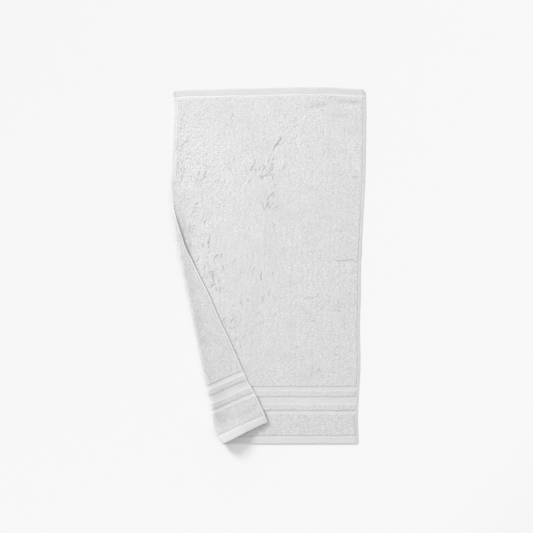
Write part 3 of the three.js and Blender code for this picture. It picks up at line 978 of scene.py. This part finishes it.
class TOWEL_OT_weave_cloth(bpy.types.Operator):
    """Weaves the cloth with its borders and hems, and lays it down with its side folded over"""

    bl_idname = "towel.weave_cloth"
    bl_label = "Weave Cloth"

    def columns(self, cloth, share, lead):
        """Cloth distances u for shares 0 to 1 of the columns, close together at the hems and
        over the roll."""
        hem = cloth.selvedge + HEM_MARGIN
        flap = LEAST_FLAP + np.logaddexp(0, (lead - LEAST_FLAP) / FLAP_EASE) * FLAP_EASE
        marks = np.array(COLUMN_SHARES)
        ends = (0, hem, flap, cloth.width - hem, cloth.width)
        stops = np.stack([0 * flap + end for end in ends])
        i = np.clip(np.searchsorted(marks, share, side="right") - 1, 0, 3)
        t = (share - marks[i]) / (marks[i + 1] - marks[i])
        t = np.where(i == 1, mix(t, 1 - (1 - t) ** 1.5, 0.7), t)
        points = np.arange(len(flap))
        return mix(stops[i, points], stops[i + 1, points], t)

    def rows(self, cloth, share):
        """Cloth distances v for shares of the rows, closer together at each change of weave."""
        fine = np.linspace(0, cloth.length, 4000)
        need = 1 + ROWS_LOW * smooth(*ROWS_LOW_FROM, fine)
        fine_at = [(start, *ROWS_AT_CHANGE) for start in ZONES["start"][1:]]
        fine_at += [(end, *ROWS_AT_END) for end in (0, cloth.length)]
        for place, more, wide in fine_at:
            need += more * bell(fine - place, wide)
        total = np.concatenate([[0], np.cumsum((need[1:] + need[:-1]) / 2)])
        return np.interp(share, total / total[-1], fine)

    def tone(self, cloth, u, v, upper):
        """The weave's tone: uneven, with painted light and painted shade at the rims and in the
        patches.
        """
        plain = cloth.zoned("tone", u, v) * (1 + WEAVE_TONE * cloud(u, v, "weave tone"))
        streaks = STREAKS * cloud(u / STREAK_LONG, v, "streaks") * (1 - cloth.loops(u, v))
        # Painted light on the right rim, painted shade on the left one, and a painted highlight
        # along the flap's free edge.
        right = RIGHT_RIM_LIGHT * bell(cloth.width - u, RIGHT_RIM)
        left = np.where(upper, LEFT_RIM_SHADE * bell(u, LEFT_RIM), TURNED_RIM_LIGHT * (u < TURNED_RIM))
        patch = np.where(upper, painted_patch(1, u, v), painted_patch(-1, u, v))
        return plain * (1 + streaks + right + left + patch)

    def closed_grid(self, rows):
        """A mesh of two grids, one above the other, joined all round at their rims."""
        made = bmesh.new()
        bmesh.ops.create_grid(made, x_segments=COLUMNS, y_segments=rows, size=1)
        copy = bmesh.ops.duplicate(made, geom=made.verts[:] + made.edges[:] + made.faces[:])
        verts, faces = (
            [part for part in copy["geom"] if isinstance(part, kind)]
            for kind in (bmesh.types.BMVert, bmesh.types.BMFace)
        )
        bmesh.ops.translate(made, verts=verts, vec=(0, 0, -1))
        bmesh.ops.reverse_faces(made, faces=faces)
        rims = [e for e in made.edges if e.is_boundary]
        bmesh.ops.bridge_loops(made, edges=rims)
        mesh = bpy.data.meshes.new("terry_cloth")
        made.to_mesh(mesh)
        made.free()
        return mesh

    def execute(self, context):
        sizes = context.scene.towel_cloth
        cloth = Cloth(sizes)
        mesh = self.closed_grid(sizes.rows)
        grid = np.zeros(len(mesh.vertices) * 3, np.float32)
        mesh.vertices.foreach_get("co", grid)
        across, along, height = grid.reshape(-1, 3).astype(float).T
        upper = height > -0.5
        v = self.rows(cloth, (along + 1) / 2)
        levels, which = np.unique(np.round(v, 5), return_inverse=True)
        lead = cloth.lead_at(levels)[which.ravel()]
        u = self.columns(cloth, (across + 1) / 2, lead)
        loops = cloth.loops(u, v)
        lumps = loops * TERRY_LUMPS * cloud(u, v, "terry lumps")
        lumps = lumps + (1 - loops) * FLAT_LUMPS * cloud(u, v, "flat lumps")
        bare = smooth(*BARE_FROM, cloth.past_lead(u, v)[0])
        below_upper = loops * LOOPS_STAND - lumps + cloth.cracked(u, v)[0] * GROUND_CRACKS
        below_reverse = (loops * LOOPS_STAND - lumps) * bare
        places = np.zeros((len(u), 3))
        for face, mine, below in ((1, upper, below_upper), (-1, ~upper, below_reverse)):
            off = cloth.thickness(u[mine], v[mine]) / 2 - below[mine]
            places[mine] = cloth.lay(u[mine], v[mine], off, face)
        mesh.vertices.foreach_set("co", flat(places))
        carry(mesh, "threads", np.stack([u, v, 0 * u], -1) * MM, "FLOAT_VECTOR")
        carry(mesh, "loops", loops)
        carry(mesh, "tone", self.tone(cloth, u, v, upper))
        half_map = u / cloth.width * MAP_SHARE + np.where(upper, 0, 1 - MAP_SHARE)
        map_cloth(mesh, np.stack([half_map, v / cloth.length], -1))
        mesh.update()
        piece = piece_of(mesh, "terry_cloth", ground_material(sizes.colour))
        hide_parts("towel")
        return {"FINISHED"}


class TOWEL_OT_raise_pile(bpy.types.Operator):
    """Raises the loops of the terry on the faces that show"""

    bl_idname = "towel.raise_pile"
    bl_label = "Raise Pile"

    def under_flap(self, cloth, points):
        """Which points of the table lie well under the flap."""
        inset_u, inset_v, top = 7.0, 4.0, 650.0
        v = np.linspace(top, inset_v, 90)
        edge = cloth.lay(np.full(90, inset_u), v, 0, 1)[:, :2]
        u = np.linspace(inset_u, cloth.lead_at(np.array([inset_v]))[0], 20)
        end = cloth.lay(u, np.full(20, inset_v), 0, 1)[:, :2]
        rim = np.concatenate([edge, end])
        inside = np.zeros(len(points), bool)
        for (x0, y0), (x1, y1) in zip(rim, np.roll(rim, -1, 0)):
            crosses = (y0 > points[:, 1]) != (y1 > points[:, 1])
            rise = (y1 - y0) if y1 != y0 else 1e-12
            inside ^= crosses & (points[:, 0] < (x1 - x0) * (points[:, 1] - y0) / rise + x0)
        return inside

    def seeded(self, cloth, pile, face):
        """Cloth places of the loops on one face, those that never show left out."""
        pitch = pile.pitch / MM
        rng = np.random.default_rng(pile.seed + face)
        u, v = np.meshgrid(
            np.arange(pitch / 2, cloth.width, pitch), np.arange(pitch / 2, cloth.length, pitch)
        )
        u = u + (np.arange(len(u))[:, None] % 2) * pitch / 2
        u = (u + rng.uniform(-PLACE_JITTER, PLACE_JITTER, u.shape) * pitch).ravel()
        v = (v + rng.uniform(-PLACE_JITTER, PLACE_JITTER, v.shape) * pitch).ravel()
        on = (cloth.loops(u, v) > 0.5) & (u < cloth.width)
        u, v = u[on], v[on]
        past, along, _, radius, _ = cloth.past_lead(u, v)
        if face < 0:
            shows = past > radius * 0.5
        else:
            covered = self.under_flap(cloth, cloth.lay(u, v, 0, 1)[:, :2]) & (v > COVERED_FROM)
            shows = np.where(past > 0, (along < FLAP_CLOSES) | (v < FLAP_END), ~covered)
        return u[shows], v[shows], rng

    def clumps(self, pile, face, u, v):
        """Which way the loops at (u, v) lean, how deep in a crevice they stand, and which of
        them are turned along the cloth."""
        across, length = (
            tufting(u, v, pile.clump / MM, stretch, seed + face) for stretch, seed in CLUMPS
        )
        edge = u + TURNED_WAVER * cloud(u, v, "turned clumps")
        turned = smooth(*TURNED_U, edge) * smooth(*TURNED_V, v) * (face > 0) > 0.5
        to_u, to_v, crevice = (np.where(turned, b, a) for a, b in zip(across, length))
        strong = 1 + CLUMPS_DIFFER * cloud(u, v, "clumping")
        strong = strong * (UPPER_CLUMPS if face > 0 else 1)
        off_ridges = smooth(*PAST_RIDGES, v) + smooth(*BEFORE_RIDGES, v)
        off_corner = np.maximum(smooth(*CORNER_V, v), smooth(*CORNER_U, u))
        strong = strong * mix(WEAK_CLUMPS, 1, off_ridges) * mix(WEAK_CLUMPS, 1, off_corner)
        return strong * to_u, strong * to_v, strong * crevice, turned

    def loops_on(self, cloth, pile, face):
        """Places, tones, cloth marks and distances v of the loops on one face."""
        u, v, rng = self.seeded(cloth, pile, face)
        deep, push, lip = ((face > 0) * found for found in cloth.cracked(u, v))
        u, v = u + push[0], v + push[1]
        small, large = (cloud(u, v, kind, face) for kind in ("small heights", "large heights"))
        swell = SMALL_SHARE * small + (1 - SMALL_SHARE) * large
        to_u, to_v, crevice, turned = self.clumps(pile, face, u, v)
        # The patches' painted light and shade, which also lower or raise the loops.
        patch = painted_patch(face, u, v)
        lean_u = LEAN * to_u + rng.normal(0, LEAN_JITTER, len(u))
        lean_v = LEAN * to_v + rng.normal(0, LEAN_JITTER, len(u))
        turn = rng.normal(0, TURN_JITTER, len(u)) + math.pi / 2 * turned
        size = rng.uniform(*LOOP_SIZES, len(u))[:, None]
        tall = 1 + SWELL_TALL * swell + rng.normal(0, HEIGHT_JITTER, len(u))
        tall = pile.height / MM * tall - CRACK_TALL * deep + LIP_TALL * lip + PATCH_TALL * patch
        tall = np.maximum(tall - pile.crevice / MM * crevice, LEAST_HEIGHT)
        half_long, half_wide = pile.length / MM / 2 * size, pile.width / MM / 2 * size
        uu, vv, height = turned_beads(u, v, turn, half_long, half_wide)
        rise = (height + 1) / 2
        hem = cloth.hem(u, v)[:, None] + LOOP_INSET
        uu = np.clip(uu + rise * lean_u[:, None], hem, cloth.width - hem)
        vv = np.minimum(vv + rise * lean_v[:, None], ZONES["start"][-2] - LOOP_INSET)
        off = (cloth.thickness(u, v) / 2 - FOOT_DEPTH)[:, None] + rise * tall[:, None]
        tones = (1 + SWELL_TONE * swell + rng.normal(0, TONE_JITTER, len(u)))[:, None]
        # Painted shade towards each loop's foot.
        tones = tones * mix(FOOT_SHADE, 1, rise)
        # Painted shade in the cracks, and a painted highlight on their lips.
        dark = CRACK_SHADE * np.minimum(deep, CRACK_SHADE_TO)
        tones = tones + (patch - dark + LIP_LIGHT * lip)[:, None]
        tones = tones * (1 if face > 0 else REVERSE_TONE) * cloth.zoned("tone", u, v)[:, None]
        return cloth.lay(uu, vv, off, face), tones, cloth.marks(uu, vv), v

    def execute(self, context):
        pile = context.scene.towel_pile
        cloth = Cloth(context.scene.towel_cloth)
        material = loops_material(pile.colour)
        for face, name in ((1, "loops_upper"), (-1, "loops_reverse")):
            places, tones, marks, v = self.loops_on(cloth, pile, face)
            order = np.argsort(v, kind="stable")
            parts = np.array_split(order, math.ceil(len(order) / MOST_LOOPS))
            for number, part in enumerate(parts, 1):
                title = f"{name}_{number}"
                mesh = beads_mesh(title, places[part], face < 0, tones[part], marks[part])
                piece_of(mesh, title, material)
        return {"FINISHED"}


class TOWEL_OT_sew_hems(bpy.types.Operator):
    """Sews the rows of stitches along the hems"""

    bl_idname = "towel.sew_hems"
    bl_label = "Sew Hems"

    def execute(self, context):
        thread = context.scene.towel_thread
        sizes = context.scene.towel_cloth
        cloth = Cloth(sizes)
        pitch = thread.stitch / MM
        half, thick = pitch * STITCH_SHARE / 2, thread.thickness / MM / 2
        across = np.arange(ROW_ENDS, cloth.width - ROW_ENDS, pitch)
        along = np.arange(ROW_ENDS, cloth.length - ROW_ENDS, pitch)
        bordered = 0 * across + BORDERED_ROW
        folded = cloth.past_lead(across, bordered)[0] > ROLL_STITCHES
        rows = [
            (across, bordered, 0, 1),
            (across[folded], bordered[folded], 0, -1),
            (across, 0 * across + cloth.length - PLAIN_ROW, 0, 1),
            (cloth.width - SIDE_ROW - cloth.hem(0 * along + cloth.width, along), along, 1, 1),
            (cloth.hem(0 * along, along) + SIDE_ROW, along, 1, 1),
        ]
        rng = np.random.default_rng(STITCH_SEED)
        groups = {1: [], -1: []}
        for u, v, lengthways, face in rows:
            turn = rng.normal(0, STITCH_JITTER, len(u)) + lengthways * math.pi / 2
            uu, vv, height = turned_beads(u, v, turn, half, thick)
            off = cloth.thickness(u, v)[:, None] / 2 + STITCH_RAISED + height * thick
            groups[face].append((cloth.lay(uu, vv, off, face), cloth.marks(uu, vv)))
        material = thread_material(thread.colour)
        for face, name in ((1, "stitches_upper"), (-1, "stitches_reverse")):
            places, marks = (np.concatenate(kind) for kind in zip(*groups[face]))
            mesh = beads_mesh(name, places, face < 0, np.ones(places.shape[:2]), marks)
            piece_of(mesh, name, material)
        return {"FINISHED"}


class TOWEL_OT_set_stage(bpy.types.Operator):
    """Sets up the floor, the lights and the camera"""

    bl_idname = "towel.set_stage"
    bl_label = "Set Stage"

    def execute(self, context):
        stage = context.scene.towel_stage
        scene = context.scene
        made = bmesh.new()
        bmesh.ops.create_grid(made, x_segments=1, y_segments=1, size=FLOOR_HALF)
        mesh = bpy.data.meshes.new("floor")
        made.to_mesh(mesh)
        made.free()
        floor = bpy.data.objects.new("floor", mesh)
        floor.location.z = FLOOR_AT
        scene.collection.objects.link(floor)
        mesh.materials.append(floor_material(stage))
        lamp = bpy.data.lights.new("key_light", "AREA")
        lamp.shape = "DISK"
        lamp.size = KEY_SIZE
        lamp.energy = stage.key
        key = bpy.data.objects.new("key_light", lamp)
        key.location = KEY_AT
        key.rotation_euler = Vector(KEY_AT).to_track_quat("Z", "Y").to_euler()
        scene.collection.objects.link(key)
        world = bpy.data.worlds.new("studio")
        world.use_nodes = True
        sky = world.node_tree.nodes["Background"]
        sky.inputs["Color"].default_value = (1, 1, 1, 1)
        sky.inputs["Strength"].default_value = stage.fill
        scene.world = world
        view = bpy.data.cameras.new("camera")
        view.sensor_width = SENSOR
        view.lens = SENSOR * stage.camera_height / stage.view_width
        view.clip_end = 50
        camera = bpy.data.objects.new("camera", view)
        camera.location = (*CAMERA_AT, stage.camera_height)
        scene.collection.objects.link(camera)
        scene.camera = camera
        scene.view_settings.view_transform = "Standard"
        return {"FINISHED"}


class TOWEL_PT_panel(bpy.types.Panel):
    """The towel's sizes, and a button for each of its pieces"""

    bl_label = "Hand Towel"
    bl_idname = "TOWEL_PT_panel"
    bl_space_type = "VIEW_3D"
    bl_region_type = "UI"
    bl_category = "Towel"

    def draw(self, context):
        for settings, operator in zip(SETTINGS, OPERATORS):
            owner, box = getattr(context.scene, settings), self.layout.box()
            for name in owner.__annotations__:
                box.prop(owner, name)
            box.operator(operator.bl_idname)


SETTINGS = {
    "towel_cloth": TowelCloth,
    "towel_pile": TowelPile,
    "towel_thread": TowelThread,
    "towel_stage": TowelStage,
}
OPERATORS = (
    TOWEL_OT_weave_cloth, TOWEL_OT_raise_pile, TOWEL_OT_sew_hems, TOWEL_OT_set_stage
)
CLASSES = (*SETTINGS.values(), *OPERATORS, TOWEL_PT_panel)


def register():
    for cls in CLASSES:
        bpy.utils.register_class(cls)
    for name, cls in SETTINGS.items():
        setattr(bpy.types.Scene, name, PointerProperty(type=cls))


def unregister():
    for name in SETTINGS:
        delattr(bpy.types.Scene, name)
    for cls in reversed(CLASSES):
        bpy.utils.unregister_class(cls)


def main():
    register()
    bpy.ops.towel.weave_cloth()
    bpy.ops.towel.raise_pile()
    bpy.ops.towel.sew_hems()
    bpy.ops.towel.set_stage()


if __name__ == "__main__":
    main()
